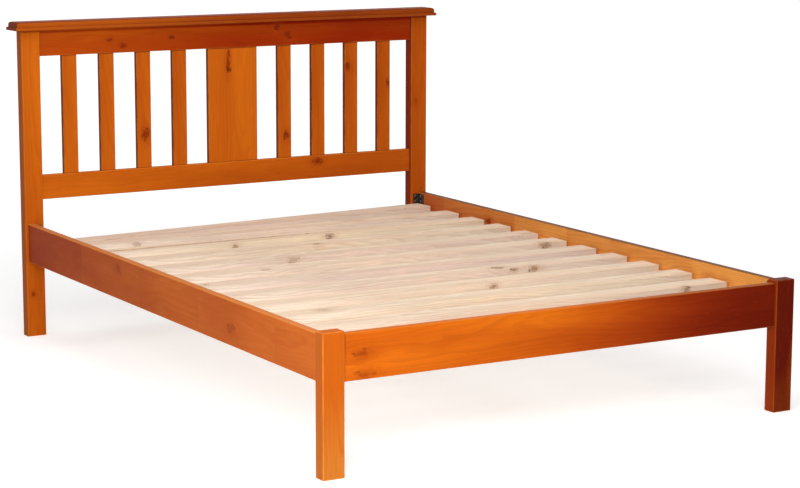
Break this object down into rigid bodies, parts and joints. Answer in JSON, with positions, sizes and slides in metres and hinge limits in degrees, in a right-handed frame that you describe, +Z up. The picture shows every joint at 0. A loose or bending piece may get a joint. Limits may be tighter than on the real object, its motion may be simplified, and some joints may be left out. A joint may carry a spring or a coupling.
{
  "type": "bed frame",
  "caption": "Stained pine bed frame with a slatted headboard under a moulded cap, a low foot end, bolted side rails and loose raw pine slats.",
  "frame": {"origin": "on the floor, under the centre of the frame's overall box", "axes": "+Z up, +Y from the foot to the head, +X to the right of someone who stands at the foot and faces the head"},
  "size_m": [1.652, 2.202, 1.083],
  "materials": {
    "stained_pine": "semi-gloss lacquer over an orange-brown stain",
    "raw_pine": "bare planed pine",
    "dark_steel": "dark painted steel",
    "zinc_steel": "zinc plated"
  },
  "bodies": {
    "frame": {"beam_cleat": "raw_pine", "bracket_bolts": "dark_steel", "bracket_foot_left": "dark_steel", "bracket_foot_right": "dark_steel", "bracket_head_left": "dark_steel", "bracket_head_right": "dark_steel", "cap_dowels": "raw_pine", "centre_beam": "raw_pine", "centre_leg_head": "raw_pine", "centre_leg_middle": "raw_pine", "cleat_screws": "zinc_steel", "foot_post_left": "stained_pine", "foot_post_right": "stained_pine", "foot_rail": "stained_pine", "head_cap": "stained_pine", "head_lower_rail": "stained_pine", "head_panel": "stained_pine", "head_post_left": "stained_pine", "head_post_right": "stained_pine", "head_slat_1": "stained_pine", "head_slat_2": "stained_pine", "head_slat_3": "stained_pine", "head_slat_4": "stained_pine", "head_slat_5": "stained_pine", "head_slat_6": "stained_pine", "head_slat_7": "stained_pine", "head_slat_8": "stained_pine", "head_top_rail": "stained_pine", "ledge_screws": "zinc_steel", "leg_screws": "zinc_steel", "side_rail_left": "stained_pine", "side_rail_right": "stained_pine", "slat_ledge_left": "raw_pine", "slat_ledge_right": "raw_pine"},
    "bed_slat_01": {"bed_slat_01": "raw_pine"},
    "bed_slat_02": {"bed_slat_02": "raw_pine"},
    "bed_slat_03": {"bed_slat_03": "raw_pine"},
    "bed_slat_04": {"bed_slat_04": "raw_pine"},
    "bed_slat_05": {"bed_slat_05": "raw_pine"},
    "bed_slat_06": {"bed_slat_06": "raw_pine"},
    "bed_slat_07": {"bed_slat_07": "raw_pine"},
    "bed_slat_08": {"bed_slat_08": "raw_pine"},
    "bed_slat_09": {"bed_slat_09": "raw_pine"},
    "bed_slat_10": {"bed_slat_10": "raw_pine"},
    "bed_slat_11": {"bed_slat_11": "raw_pine"},
    "bed_slat_12": {"bed_slat_12": "raw_pine"}
  },
  "joints": [
    {"name": "slat_01_lift", "type": "slide", "parent": "frame", "child": "bed_slat_01", "axis": [0, 0, 1], "range_m": [0, 0.09]},
    {"name": "slat_02_lift", "type": "slide", "parent": "frame", "child": "bed_slat_02", "axis": [0, 0, 1], "range_m": [0, 0.09]},
    {"name": "slat_03_lift", "type": "slide", "parent": "frame", "child": "bed_slat_03", "axis": [0, 0, 1], "range_m": [0, 0.09]},
    {"name": "slat_04_lift", "type": "slide", "parent": "frame", "child": "bed_slat_04", "axis": [0, 0, 1], "range_m": [0, 0.09]},
    {"name": "slat_05_lift", "type": "slide", "parent": "frame", "child": "bed_slat_05", "axis": [0, 0, 1], "range_m": [0, 0.09]},
    {"name": "slat_06_lift", "type": "slide", "parent": "frame", "child": "bed_slat_06", "axis": [0, 0, 1], "range_m": [0, 0.09]},
    {"name": "slat_07_lift", "type": "slide", "parent": "frame", "child": "bed_slat_07", "axis": [0, 0, 1], "range_m": [0, 0.09]},
    {"name": "slat_08_lift", "type": "slide", "parent": "frame", "child": "bed_slat_08", "axis": [0, 0, 1], "range_m": [0, 0.09]},
    {"name": "slat_09_lift", "type": "slide", "parent": "frame", "child": "bed_slat_09", "axis": [0, 0, 1], "range_m": [0, 0.09]},
    {"name": "slat_10_lift", "type": "slide", "parent": "frame", "child": "bed_slat_10", "axis": [0, 0, 1], "range_m": [0, 0.09]},
    {"name": "slat_11_lift", "type": "slide", "parent": "frame", "child": "bed_slat_11", "axis": [0, 0, 1], "range_m": [0, 0.09]},
    {"name": "slat_12_lift", "type": "slide", "parent": "frame", "child": "bed_slat_12", "axis": [0, 0, 1], "range_m": [0, 0.09]}
  ]
}
